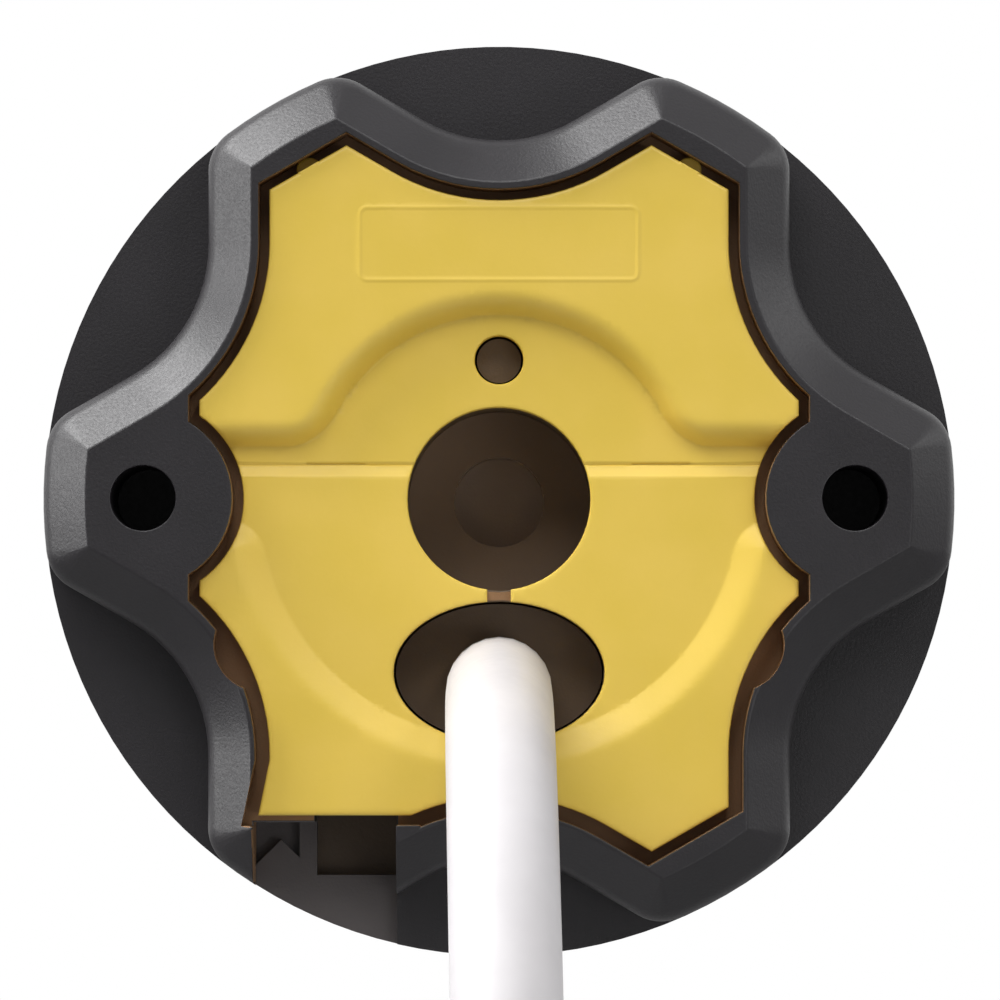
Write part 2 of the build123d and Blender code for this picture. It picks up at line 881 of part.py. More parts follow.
def stator_windings():
    """Copper in the slots and the two end turns."""
    inner, outer = winding_inner_radius, winding_outer_radius
    windings = ring(outer, inner, stator_start - winding_overhang, stator_start)
    windings += ring(outer, inner, stator_end, stator_end + winding_overhang)
    for slot in slot_faces(slot_liner):
        windings += slab(slot, stator_start, stator_end)
    return windings


def thermal_cutout():
    """Thermal switch on the front end turns."""
    middle = (winding_inner_radius + winding_outer_radius) / 2
    start = stator_start - winding_overhang - cutout_thickness
    half_width = cutout_width / 2
    half_height = cutout_height / 2
    end = start + cutout_thickness
    return block(-half_width, half_width, start, end, -middle - half_height, -middle + half_height)


def rotor_core():
    """The laminated rotor."""
    return ring(rotor_radius, shaft_radius + fit_clearance, stator_start, stator_end)


def rotor_cage():
    """The cage's two cast end rings."""
    inner, outer = rotor_ring_inner_radius, rotor_ring_outer_radius
    front = ring(outer, inner, stator_start - rotor_ring_length, stator_start)
    rear = ring(outer, inner, stator_end, stator_end + rotor_ring_length)
    return Compound([front, rear])


def rotor_shaft():
    """The rotor's shaft with its brake collar, turned down for the first sun gear."""
    start = front_bell_start - magnet_gap - magnet_length - overrun
    shaft = rod(shaft_radius, start, sun_start)
    shaft += rod(brake_collar_radius, collar_start, collar_end)
    return shaft + rod(sun_bore_radius, sun_start, stage_starts[0] + gear_width)


def brake_spring():
    """Compression spring that pushes the armature on to the lining."""
    inset = brake_spring_wire_radius + brake_spring_gap
    height = armature_start - collar_end - 2 * inset
    path = Helix(
        height / brake_spring_turns,
        height,
        brake_spring_radius,
        center=(0, collar_end + inset, 0),
        direction=(0, 1, 0),
    )
    wire = RegularPolygon(brake_spring_wire_radius, brake_spring_sides)
    wire = Plane(origin=path @ 0, z_dir=path % 0) * wire
    return sweep(wire, path=path, is_frenet=True)


def brake_armature():
    """Steel disc that slides on the shaft and is pressed against the lining."""
    disc = ring(armature_radius, shaft_hole_radius, armature_start, armature_end)
    hole = rod(armature_hole_radius, armature_start, armature_end, z=armature_hole_circle)
    return disc - joined(around(hole, armature_hole_count))


def brake_lining():
    """Friction ring on the brake housing's floor."""
    return ring(armature_radius, lining_inner_radius, lining_start, brake_inside)


def brake_housing():
    """Cup round the brake, between the motor and the gearbox."""
    wall = ring(module_radius, module_radius - brake_wall, rear_bell_end, brake_inside)
    return wall + ring(module_radius, brake_shaft_hole, brake_inside, brake_end)


def gear_outline(teeth, tip_radius, root_radius, first):
    """Straight-sided teeth all round. first turns the pattern, in radians, from a tooth at the top.

    With the tip outside the root it is an outer gear, and the other way round the bore
    of a ring gear.
    """
    pitch_radius = gear_module * teeth / 2
    half_thickness = pi * gear_module / 4 - tooth_thinning / 2
    slope = tan(radians(pressure_angle))
    tip_half = half_thickness - abs(tip_radius - pitch_radius) * slope
    root_half = half_thickness + abs(root_radius - pitch_radius) * slope
    points = []
    for tooth in range(teeth):
        angle = first + 2 * pi * tooth / teeth
        for side, radius in (
            (-root_half, root_radius),
            (-tip_half, tip_radius),
            (tip_half, tip_radius),
            (root_half, root_radius),
        ):
            x = side * cos(angle) + radius * sin(angle)
            z = radius * cos(angle) - side * sin(angle)
            points.append((x, z))
    return Sketch() + Face(Wire.make_polygon(points))


def sun_face():
    """A sun gear's outline, with a tooth at the top."""
    tip = sun_pitch_radius + tooth_addendum
    return gear_outline(sun_teeth, tip, sun_pitch_radius - tooth_dedendum, 0)


def planet_gears(stage):
    """The planets of a stage, each meshed with its sun below and the ring above."""
    tip = planet_pitch_radius + tooth_addendum
    root = planet_pitch_radius - tooth_dedendum
    outline = gear_outline(planet_teeth, tip, root, 0) - Circle(planet_pin_radius + running_clearance)
    start = stage_starts[stage]
    top = Pos(0, 0, planet_circle) * slab(outline, start, start + gear_width)
    return around(top, planet_count)


def carrier(stage):
    """A planet carrier: plate and pins, without what it drives."""
    start = stage_starts[stage]
    plate_start = start + gear_width + gear_play
    plate = rod(carrier_radius, plate_start, plate_start + carrier_thickness)
    pin = rod(planet_pin_radius, start, plate_start, z=planet_circle)
    return joined([plate] + around(pin, planet_count))


def carrier_with_sun(stage):
    """A carrier with the next stage's sun gear on its rear face."""
    start = stage_starts[stage] + gear_width + gear_play + carrier_thickness
    return carrier(stage) + slab(sun_face(), start, stage_starts[stage + 1] + gear_width)


def sun_gear_1():
    """The first sun gear, pressed on the rotor's shaft."""
    outline = sun_face() - Circle(sun_bore_radius + fit_clearance)
    return slab(outline, sun_start, stage_starts[0] + gear_width)


def gearbox_plate():
    """The gearbox's front lid, with the hole for the first sun gear."""
    return ring(module_radius, pinion_hole_radius, brake_end, gear_plate_end)


def gearbox_housing():
    """Gear case with the inner teeth that all three stages share."""
    tip = ring_pitch_radius - tooth_addendum
    root = ring_pitch_radius + tooth_dedendum
    bore = gear_outline(ring_teeth, tip, root, pi / ring_teeth)
    return slab(Circle(module_radius) - bore, gear_plate_end, ring_end)


def gearbox_end_cap():
    """End cap that closes the gearbox and the tube, and holds the output bush."""
    cap = rod(module_radius, ring_end, cap_end) + rod(tube_radius, cap_end, flange_end)
    cap -= rod(output_bush_radius + fit_clearance, ring_end - overrun, flange_end + overrun)
    for hole in rivet_holes(rivet_depths[1]):
        cap -= hole
    return cap


def output_bush():
    """Flanged bush of the output shaft."""
    bore = output_radius + running_clearance
    bush = ring(output_bush_radius, bore, ring_end, flange_end)
    return bush + ring(output_bush_flange_radius, bore, flange_end, flange_end + output_bush_flange)


def output_shaft():
    """Output shaft: round in the bush and square in the drive wheel, with a screw hole."""
    square_end = wheel_end - output_shaft_gap
    shaft = rod(output_radius, ring_end - gear_play, wheel_start)
    shaft += slab(Rectangle(wheel_square, wheel_square), wheel_start, square_end)
    hole = wheel_screw_radius + wheel_screw_clearance
    return shaft - rod(hole, wheel_end - wheel_screw_length - overrun, wheel_end)


def drive_wheel():
    """Wheel that turns the roller tube: slotted rim, six webs and a square-bored hub."""
    rim_bore = drive_radius - wheel_rim
    half = wheel_web / 2
    wheel = ring(drive_radius, rim_bore, wheel_start, wheel_end)
    wheel += rod(wheel_hub_radius, wheel_start, wheel_end)
    web = block(-half, half, wheel_start, wheel_end, wheel_hub_radius - half, rim_bore + half)
    wheel = joined([wheel] + around(web, wheel_web_count))
    side = wheel_square + 2 * wheel_square_clearance
    wheel -= slab(Rectangle(side, side), wheel_start - overrun, wheel_end + overrun)
    return wheel - joined(key_slots(wheel_start - overrun, wheel_end))


def wheel_screw():
    """Screw that holds the drive wheel on the shaft."""
    screw = rod(wheel_screw_head_radius, wheel_end, wheel_end + wheel_screw_head)
    socket_start = wheel_end + wheel_screw_head - hex_socket_depth
    socket = RegularPolygon(hex_socket_width / 2, hex_sides, major_radius=False)
    screw -= slab(socket, socket_start, wheel_end + wheel_screw_head + overrun)
    return screw + rod(wheel_screw_radius, wheel_end - wheel_screw_length, wheel_end)


def cord_tube(points, radius, sides):
    """A tube along straight runs, with an arc as large as its two runs allow at each corner."""
    runs = [b - a for a, b in zip(points, points[1:])]
    radii = []
    for before, after in zip(runs, runs[1:]):
        half_turn = radians(before.get_angle(after)) / 2
        shorter = min(before.length, after.length)
        radii.append(bend_share * shorter / tan(half_turn))
    path = FilletPolyline(*points, radius=radii)
    section = Plane(origin=path @ 0, z_dir=path % 0) * RegularPolygon(radius, sides)
    tube = sweep(section, path=path)
    bends = ", ".join(f"{bend:.1f}" for bend in radii)
    share = tube.volume / (section.area * path.length)
    print(f"tube {path.length:.0f} long, bends {bends}, volume share {share:.4f}")
    return tube


def coil_spots():
    """The crossings of the coil's middle line with its own diameter, half a turn apart.

    Each is a distance to one side and a depth. The layers spiral in and out by turns, and
    the line climbs a layer in the half turn where the spiral reverses.
    """
    step = (cable_diameter + coil_gap) / 2
    spots = [(coil_outer_radius, coil_depth)]
    for layer in range(coil_layers):
        inwards = -1 if layer % 2 == 0 else 1
        last = layer == coil_layers - 1
        for _ in range(coil_half_turns - 1 if last else coil_half_turns):
            radius, depth = spots[-1]
            spots.append((radius + inwards * step, depth))
        if not last:
            radius, depth = spots[-1]
            spots.append((radius, depth + cable_diameter + coil_gap))
    return spots


def coil_path():
    """The coil's middle line, from the hanging lead to the tail, as half and quarter turns."""
    slant = sqrt(1 / 2)
    outwards = Vector(slant, 0, slant)
    ahead = Vector(slant, 0, -slant)
    spots = coil_spots()
    edges = []
    for index, (radius, depth) in enumerate(spots):
        side = 1 if index % 2 == 0 else -1
        here = coil_centre + outwards * (side * radius) + Vector(0, depth - coil_depth, 0)
        heading = ahead * side
        if index > 0 and depth == spots[index - 1][1]:
            edges.append(Edge.make_tangent_arc(last, last_heading, here))
        elif index > 0:
            reach = (here - last).length / 2
            middle = (last + last_heading * reach + here + heading * -reach) * 0.5
            edges.append(Edge.make_tangent_arc(last, last_heading, middle))
            edges.append(Edge.make_tangent_arc(middle, edges[-1] % 1, here))
        last, last_heading = here, heading
    radius = spots[-1][0] + (cable_diameter + coil_gap) / 4
    quarter = last + last_heading * radius - outwards * (side * radius)
    edges.append(Edge.make_tangent_arc(last, last_heading, quarter))
    lead_in = Edge.make_line(edges[0] @ 0 - ahead * cable_diameter, edges[0] @ 0)
    tail_start = edges[-1] @ 1
    tail_out = Edge.make_line(tail_start, tail_start + (edges[-1] % 1) * cable_diameter)
    return Wire([lead_in] + edges + [tail_out])


def least_gap(path, radius):
    """The smallest gap of a wound tube to itself, measured on points of its middle line."""
    count = round(path.length / gap_sample)
    points = [path @ (step / count) for step in range(count + 1)]
    apart = round(gap_window * pi * radius / gap_sample)
    nearest = path.length
    for index, point in enumerate(points):
        for other in points[index + apart:]:
            nearest = min(nearest, (other - point).length)
    return nearest - 2 * radius


def cable_lead():
    """The lead's hanging stretch, from the plug to the coil."""
    return cord_tube(lead_points, cable_radius, cable_sides)


def cable_coil():
    """The put-away length, one tube wound in layers."""
    path = coil_line
    section = Plane(origin=path @ 0, z_dir=path % 0) * RegularPolygon(cable_radius, cable_sides)
    print(f"coil {path.length:.0f} long, least gap {least_gap(path, cable_radius):.2f}")
    return sweep(section, path=path)


def coil_tie():
    """Strap round the coil's bundle, at its top."""
    rise = (cable_diameter + coil_gap) * (coil_layers - 1)
    inner_radius = coil_outer_radius - (cable_diameter + coil_gap) * coil_half_turns / 2
    room = cable_radius + tie_clearance
    low = coil_centre.Z + inner_radius - room
    high = coil_centre.Z + coil_outer_radius + room
    start = coil_depth - room
    end = coil_depth + rise + room
    middle = Vector(coil_centre.X, (start + end) / 2, (low + high) / 2)
    hole = Rectangle(end - start, high - low)
    strap = Rectangle(end - start + 2 * tie_thickness, high - low + 2 * tie_thickness)
    hole = fillet(hole.vertices(), cable_radius)
    strap = fillet(strap.vertices(), cable_radius + tie_thickness)
    plane = Plane(origin=middle - Vector(tie_width / 2, 0, 0), x_dir=(0, 1, 0), z_dir=(1, 0, 0))
    return extrude(plane * (strap - hole), amount=tie_width)


def cable_tail():
    """The lead's last stretch, with its bare end."""
    return cord_tube(tail_points, cable_radius, cable_sides)


def conductors():
    """The lead's insulated cores, free of the sheath at its end."""
    end = Plane(origin=tail_points[-1], z_dir=tail_points[-1] - tail_points[-2])
    half = conductor_spacing / 2
    cores = []
    for x in (-half, half):
        for y in (-half, half):
            core = end * Pos(x, y) * Circle(conductor_radius)
            cores.append(extrude(core, amount=conductor_length))
    return Compound(cores)


# The lead's route from the plug: out of the head, down, and aslant into the coil
lead_points = [
    Vector(0, plug_face, -cable_drop),
    Vector(0, -14, -cable_drop),
    Vector(0.3, -33, -23.9),
    Vector(0.7, -44, -43),
    Vector(1.4, -44.6, -66),
    Vector(10.2, -44.6, -86.6),
    Vector(25.8, -44.6, -102.2),
]
slant_down = Vector(sqrt(1 / 2), 0, -sqrt(1 / 2))
slant_up = Vector(sqrt(1 / 2), 0, sqrt(1 / 2))
coil_centre = lead_points[-1] + slant_down * cable_diameter - slant_up * coil_outer_radius
coil_depth = coil_centre.Y
coil_line = coil_path()
tail_points = [coil_line @ 1]
for step in (Vector(-11, 0, -11), Vector(-6, 0, -15), Vector(0.4, 0, -16)):
    tail_points.append(tail_points[-1] + step)

pieces = {
    "head_casing": head_casing(),
    "front_cover": front_cover(),
    "cable_plug": cable_plug(),
    "plug_contacts": plug_contacts(),
    "setting_button": setting_button(),
    "setting_switch": setting_switch(),
    "crown": crown(),
    "motor_tube": motor_tube(),
    "tube_rivets": tube_rivets(),
    "board_cradle": board_cradle(),
    "control_board": control_board(),
    "relays": relays(),
    "power_transformer": power_transformer(),
    "smoothing_capacitor": smoothing_capacitor(),
    "control_chips": control_chips(),
    "mains_connector": mains_connector(),
    "motor_connector": motor_connector(),
    "capacitor_cup": capacitor_cup(),
    "run_capacitor": run_capacitor(),
    "motor_leads": motor_leads(),
    "encoder_board": encoder_board(),
    "encoder_magnet": encoder_magnet(),
    "front_bell": front_bell(),
    "rear_bell": rear_bell(),
    "motor_bushes": motor_bushes(),
    "stator_core": stator_core(),
    "stator_windings": stator_windings(),
    "thermal_cutout": thermal_cutout(),
    "rotor_core": rotor_core(),
    "rotor_cage": rotor_cage(),
    "rotor_shaft": rotor_shaft(),
    "brake_spring": brake_spring(),
    "brake_armature": brake_armature(),
    "brake_lining": brake_lining(),
    "brake_housing": brake_housing(),
    "gearbox_plate": gearbox_plate(),
    "gearbox_housing": gearbox_housing(),
    "sun_gear_1": sun_gear_1(),
    "carrier_1": carrier_with_sun(0),
    "carrier_2": carrier_with_sun(1),
    "output_carrier": carrier(2),
    "gearbox_end_cap": gearbox_end_cap(),
    "output_bush": output_bush(),
    "output_shaft": output_shaft(),
    "drive_wheel": drive_wheel(),
    "wheel_screw": wheel_screw(),
    "cable_lead": cable_lead(),
    "cable_coil": cable_coil(),
    "coil_tie": coil_tie(),
    "cable_tail": cable_tail(),
    "conductors": conductors(),
}
for stage in range(len(stage_starts)):
    for letter, gear in zip("abc", planet_gears(stage)):
        pieces[f"planet_{stage + 1}{letter}"] = gear

os.makedirs("parts", exist_ok=True)
for name, piece in pieces.items():
    export_step(piece, f"parts/{name}.step")
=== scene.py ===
# %% [markdown]
# # A tubular roller blind motor, seen on its star head
#
# The motor is packed as a fixed frame: tube, head, gear train and lead are all there, to scale and
# in metres. This script dresses that frame. It gives every part the finish of the real thing, with
# painted light and painted shade on some shaded faces of the head, its lead's plug and its button,
# and replaces the parts whose soft forms need more than plain solids: above all the yellow cover,
# the black head and the white mains lead.
#
# The motor's axis is Y. The head's mounting face is the plane Y = 0 and looks along -Y, Z is up.
# Lengths are written as millimetres times MM. A hair is the slack that comparisons leave.

import json
from math import cos, hypot, pi, radians, sin, sqrt

import bmesh
import bpy
from mathutils import Matrix, Vector


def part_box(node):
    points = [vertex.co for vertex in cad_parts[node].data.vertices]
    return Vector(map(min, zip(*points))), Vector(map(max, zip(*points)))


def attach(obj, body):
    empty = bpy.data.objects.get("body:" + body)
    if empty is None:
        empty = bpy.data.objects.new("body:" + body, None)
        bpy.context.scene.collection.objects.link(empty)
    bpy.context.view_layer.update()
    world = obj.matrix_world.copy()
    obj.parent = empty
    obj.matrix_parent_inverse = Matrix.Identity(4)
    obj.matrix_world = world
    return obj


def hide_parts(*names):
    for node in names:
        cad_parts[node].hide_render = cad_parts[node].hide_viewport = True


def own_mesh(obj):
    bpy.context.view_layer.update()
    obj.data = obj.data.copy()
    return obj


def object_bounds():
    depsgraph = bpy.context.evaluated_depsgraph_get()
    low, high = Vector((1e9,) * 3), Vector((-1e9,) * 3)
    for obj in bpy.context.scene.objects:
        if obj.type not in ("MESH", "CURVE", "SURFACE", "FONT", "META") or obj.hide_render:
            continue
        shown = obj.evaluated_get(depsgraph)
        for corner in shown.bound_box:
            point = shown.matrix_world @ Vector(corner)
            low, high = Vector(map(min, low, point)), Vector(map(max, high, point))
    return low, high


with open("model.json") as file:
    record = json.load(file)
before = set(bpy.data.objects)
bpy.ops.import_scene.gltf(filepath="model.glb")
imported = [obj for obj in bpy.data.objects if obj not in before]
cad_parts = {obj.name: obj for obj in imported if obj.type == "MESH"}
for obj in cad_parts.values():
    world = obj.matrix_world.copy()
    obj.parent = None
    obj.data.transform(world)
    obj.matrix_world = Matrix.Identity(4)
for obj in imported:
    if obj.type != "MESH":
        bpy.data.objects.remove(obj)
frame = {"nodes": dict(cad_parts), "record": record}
cad_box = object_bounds()
MM = 0.001
hair = 0.01 * MM
print("parts in the frame:", len(frame["nodes"]))


def add_object(name, data):
    """A new object with this data, linked to the scene."""
    added = bpy.data.objects.new(name, data)
    bpy.context.scene.collection.objects.link(added)
    return added


def look_along(seer, direction):
    """Turns a camera or a lamp to look along the direction."""
    seer.rotation_mode = "QUATERNION"
    seer.rotation_quaternion = direction.to_track_quat("-Z", "Y")


# %% [markdown]
# ## Camera
#
# The photograph looks straight at the head from about 0.6 m, a little from below. At that distance
# the picture's thousand pixels span 67 mm of the head's front face. A long lens gives the same
# mild perspective: the flange behind the star looks slightly smaller than it is.

# %% Camera
photo_pixels = 1000
mm_per_pixel = 0.0674
face_centre_px = (499, 498)
camera_distance = 600 * MM
camera_tilt = radians(1.2)
sensor = 36

picture_width = photo_pixels * mm_per_pixel * MM
aim_x = (photo_pixels / 2 - face_centre_px[0]) * mm_per_pixel * MM
aim_z = (face_centre_px[1] - photo_pixels / 2) * mm_per_pixel * MM
aim = Vector((aim_x, 0, aim_z))
back = Vector((0, -cos(camera_tilt), -sin(camera_tilt)))
camera_data = bpy.data.cameras.new("camera")
camera_data.sensor_width = sensor
camera_data.lens = sensor * camera_distance / picture_width
camera_data.clip_start = 10 * MM
camera = add_object("camera", camera_data)
camera.location = aim + back * camera_distance
look_along(camera, -back)
bpy.context.scene.camera = camera
print(f"lens {camera_data.lens:.0f} mm at {camera_distance:.2f} m")

# %% [markdown]
# ## Floor, background and light
#
# The photograph has a pure white ground, a strong soft light from the upper left and a weaker one
# in front. The room behind the camera is dark, which keeps the black plastic's flat faces black
# while its bevels catch the white all round. A world shader can tell who is asking: the camera
# and rays that pass through glass see plain white, glossy rays see white that fades towards the
# side where the camera stands, and all other rays see the same fade at the level of a soft lamp.
# It fades downwards too, since the photograph's bevels that face down are the darkest. The floor is
# pale for the camera, and as dark as that lower world for the light that it sends back.

# %% Shader helpers


def number(tree, operation, first, second):
    """A Math node on two values, each a socket or a plain number."""
    node = tree.nodes.new("ShaderNodeMath")
    node.operation = operation
    for socket, value in zip(node.inputs, (first, second)):
        if isinstance(value, (int, float)):
            socket.default_value = value
        else:
            tree.links.new(value, socket)
    return node.outputs[0]


def ramp(tree, value, start, end, low, high):
    """Runs from low to high as the value goes from start to end, and is level outside them."""
    node = tree.nodes.new("ShaderNodeMapRange")
    settings = {"From Min": start, "From Max": end, "To Min": low, "To Max": high}
    for name, setting in settings.items():
        node.inputs[name].default_value = setting
    tree.links.new(value, node.inputs["Value"])
    return node.outputs["Result"]


def asking_rays(tree):
    """1 for glossy rays, and 1 for rays from the camera or through glass."""
    path = tree.nodes.new("ShaderNodeLightPath").outputs
    seen = number(tree, "MAXIMUM", path["Is Camera Ray"], path["Is Transmission Ray"])
    return path["Is Glossy Ray"], seen


# %% World that is darker on the camera's side and below
ambient_strength = 0.8
front_strength = 0.25
front_fade = (-1, 0.8)
below_strength = 0.3
below_fade = (-0.9, 0)

world = bpy.data.worlds.new("studio")
world.use_nodes = True
tree = world.node_tree
tree.nodes.clear()
direction = tree.nodes.new("ShaderNodeSeparateXYZ")
tree.links.new(tree.nodes.new("ShaderNodeTexCoord").outputs["Generated"], direction.inputs[0])
towards_back = ramp(tree, direction.outputs["Y"], *front_fade, front_strength, 1)
upwards = ramp(tree, direction.outputs["Z"], *below_fade, below_strength, 1)
glossy, seen = asking_rays(tree)
extra = number(tree, "MULTIPLY", glossy, 1 - ambient_strength)
share = number(tree, "ADD", extra, ambient_strength)
faded = number(tree, "MULTIPLY", number(tree, "MULTIPLY", towards_back, upwards), share)
sky = tree.nodes.new("ShaderNodeBackground")
sky.inputs["Color"].default_value = (1, 1, 1, 1)
out = tree.nodes.new("ShaderNodeOutputWorld")
tree.links.new(number(tree, "MAXIMUM", seen, faded), sky.inputs["Strength"])
tree.links.new(sky.outputs[0], out.inputs["Surface"])
bpy.context.scene.world = world
bpy.context.scene.view_settings.view_transform = "Standard"

# %% Lamps


def soft_lamp(name, place, size, watts, spread=180):
    """A square area lamp that looks at the head, with its beam's width in degrees."""
    data = bpy.data.lights.new(name, "AREA")
    data.size = size
    data.energy = watts
    data.spread = radians(spread)
    lamp = add_object(name, data)
    lamp.location = place
    look_along(lamp, -Vector(place))


soft_lamp("window", (-0.62, -0.1, 0.72), size=0.6, watts=1.7, spread=60)
soft_lamp("side_panel", (-1.0, -0.05, 0.15), size=0.5, watts=0.55, spread=60)
soft_lamp("front", (-0.2, -1.05, 1.05), size=0.8, watts=8.8)
soft_lamp("front_right", (0.65, -1.0, 0.85), size=0.4, watts=2.9)
soft_lamp("right_card", (0.95, 0, 0.45), size=0.5, watts=0.3, spread=90)
soft_lamp("reflector", (0.3, -0.5, -0.2), size=0.3, watts=0.6)

# %% Floor
floor_radius = 3
floor_sides = 96
floor_rough = 0.8
floor_grey = 0.22
floor_grey_seen = 0.3
floor_glow_seen = 0.66
floor_glow_mirrored = 0.08

floor_mesh = bmesh.new()
bmesh.ops.create_circle(floor_mesh, cap_ends=True, segments=floor_sides, radius=floor_radius)
bmesh.ops.translate(floor_mesh, verts=floor_mesh.verts, vec=(0, 0, cad_box[0].z))
floor_data = bpy.data.meshes.new("floor")
floor_mesh.to_mesh(floor_data)
floor_mesh.free()
floor = add_object("floor", floor_data)
floor_finish = bpy.data.materials.new("pale_floor")
floor_finish.use_nodes = True
tree = floor_finish.node_tree
shader = tree.nodes["Principled BSDF"]
shader.inputs["Roughness"].default_value = floor_rough
shader.inputs["Emission Color"].default_value = (1, 1, 1, 1)
glossy, seen = asking_rays(tree)
glow_seen = number(tree, "MULTIPLY", seen, floor_glow_seen)
glow_mirrored = number(tree, "MULTIPLY", glossy, floor_glow_mirrored)
tone = tree.nodes.new("ShaderNodeMix")
tone.data_type = "RGBA"
tone.inputs["A"].default_value = (floor_grey, floor_grey, floor_grey, 1)
tone.inputs["B"].default_value = (floor_grey_seen, floor_grey_seen, floor_grey_seen, 1)
tree.links.new(seen, tone.inputs["Factor"])
tree.links.new(tone.outputs["Result"], shader.inputs["Base Color"])
tree.links.new(number(tree, "ADD", glow_seen, glow_mirrored), shader.inputs["Emission Strength"])
floor_data.materials.append(floor_finish)

# %% [markdown]
# ## Finishes
#
# Every finish is a small node tree on the Principled shader. Two things make moulded plastic and
# metal look real at this size: a very fine surface, given as a bump at most a few hundredths of a
# millimetre deep, and a slight unevenness of colour and gloss. Both read Object coordinates, which
# are metres here, so the grain has its true size on every part.

# %% Finish helpers
noise_range = (0.3, 0.7)
colour_range = (0.35, 0.65)
plastic_cloud = 6
plastic_unevenness = (-0.04, 0.05)
metal_cloud = 9
metal_marks = 0.3
metal_unevenness = (-0.08, 0.08)
finishes = {}


def colour(red, green, blue):
    """A colour picked as 0-255 display values, as the linear values that the shader wants."""
    def linear(value):
        value /= 255
        return value / 12.92 if value <= 0.04045 else ((value + 0.055) / 1.055) ** 2.4
    return (linear(red), linear(green), linear(blue), 1)


def start_finish(name):
    """Adds a material to the finishes; gives its tree, its shader and the Object coordinates."""
    material = bpy.data.materials.new(name)
    material.use_nodes = True
    finishes[name] = material
    tree = material.node_tree
    place = tree.nodes.new("ShaderNodeTexCoord").outputs["Object"]
    return tree, tree.nodes["Principled BSDF"], place


def noise(tree, place, size, detail, stretch=(1, 1, 1)):
    """Noise whose features are about size millimetres across, times the stretch along an axis."""
    mapping = tree.nodes.new("ShaderNodeMapping")
    mapping.inputs["Scale"].default_value = [1 / (size * MM * part) for part in stretch]
    texture = tree.nodes.new("ShaderNodeTexNoise")
    texture.inputs["Scale"].default_value = 1
    texture.inputs["Detail"].default_value = detail
    tree.links.new(place, mapping.inputs["Vector"])
    tree.links.new(mapping.outputs["Vector"], texture.inputs["Vector"])
    return texture.outputs["Fac"]


def between(tree, factor, low, high):
    """A colour that runs from low to high as the factor does, both as display values."""
    node = tree.nodes.new("ShaderNodeValToRGB")
    for end, position, shade in zip(node.color_ramp.elements, colour_range, (low, high)):
        end.position = position
        end.color = colour(*shade)
    tree.links.new(factor, node.inputs["Fac"])
    return node.outputs["Color"]


def add_finish(name, low, high, roughness, cloud, marks, depth, detail, stretch=(1, 1, 1)):
    """A finish with clouds of two colours and fine marks in its gloss and height, in millimetres."""
    tree, shader, place = start_finish(name)
    clouds = noise(tree, place, cloud, detail=3)
    fine = noise(tree, place, marks, detail, stretch)
    bump = tree.nodes.new("ShaderNodeBump")
    bump.inputs["Distance"].default_value = depth * MM
    tree.links.new(fine, bump.inputs["Height"])
    tree.links.new(between(tree, clouds, low, high), shader.inputs["Base Color"])
    tree.links.new(ramp(tree, fine, *noise_range, *roughness), shader.inputs["Roughness"])
    tree.links.new(bump.outputs["Normal"], shader.inputs["Normal"])
    return shader


def add_plastic(name, low, high, rough, grain=0.2, depth=0.02, gloss=0.5):
    """Moulded plastic: nearly even colour, fine eroded grain and slightly uneven gloss."""
    roughness = [rough + part for part in plastic_unevenness]
    shader = add_finish(name, low, high, roughness, plastic_cloud, grain, depth, detail=2)
    shader.inputs["Specular IOR Level"].default_value = gloss


def add_metal(name, low, high, rough, depth=0.004, brush=(1, 1, 1)):
    """Metal with brush or turning marks, stretched along the way the tool ran."""
    roughness = [rough + part for part in metal_unevenness]
    shader = add_finish(
        name, low, high, roughness, metal_cloud, metal_marks, depth, detail=3, stretch=brush
    )
    shader.inputs["Metallic"].default_value = 1


# %% [markdown]
# The yellow is a warm, slightly satin ABS. The black is a glass-filled nylon with an eroded grain,
# which turns light grey where it faces the lamp. Its pocket, its sockets, the well and second outlet
# beside the lead, the plug and the button get brown or grey colours that are painted light: painted
# reflection of the yellow cover and painted light in their shade, lighter the deeper they lie. Its
# flange gets a darker black as painted shade. The lead's sheath is smooth white PVC.

# %% Finishes of plastic
add_plastic("yellow_plastic", (228, 196, 78), (233, 200, 86), 0.42, grain=0.35, depth=0.006)
add_plastic("black_plastic", (23, 20, 24), (29, 26, 30), 0.42, depth=0.018, gloss=0.62)
# painted shade: the flange behind the star gets a darker, duller black than the rest of the head
add_plastic("flange_painted_shade", (10, 7, 11), (14, 11, 15), 0.4, grain=0.15, depth=0.015, gloss=0.2)
# painted light: these brown and grey colours, lighter the deeper their faces lie, stand in for the
# yellow cover's reflected light and for light in the shade of the pocket, the sockets, the well, the
# outlet, the plug and the button
add_plastic("brown_painted_light", (92, 76, 59), (100, 83, 65), 0.5)
add_plastic("pocket_painted_light", (140, 107, 75), (147, 113, 80), 0.5)
add_plastic("outlet_painted_light", (84, 79, 79), (92, 87, 87), 0.45)
add_plastic("plug_painted_light", (108, 89, 70), (116, 96, 76), 0.5)
add_plastic("socket_painted_light", (136, 114, 94), (144, 121, 100), 0.6, gloss=0.2)
add_plastic("deepest_painted_light", (198, 180, 164), (206, 187, 170), 0.6, gloss=0.2)
add_plastic("white_cable", (198, 195, 197), (203, 200, 202), 0.42, grain=0.8, depth=0.01)
add_plastic("dark_plastic", (33, 33, 35), (39, 39, 41), 0.48, grain=0.3, depth=0.025)
add_plastic("grey_plastic", (158, 160, 162), (168, 170, 172), 0.5, grain=0.3)
add_plastic("white_plastic", (226, 226, 221), (234, 234, 229), 0.42, grain=0.3, depth=0.01)
add_plastic("blue_plastic", (40, 74, 140), (46, 82, 150), 0.4, grain=0.3, depth=0.01)
add_plastic("gear_plastic", (226, 220, 200), (233, 228, 210), 0.45, grain=0.3, depth=0.01)
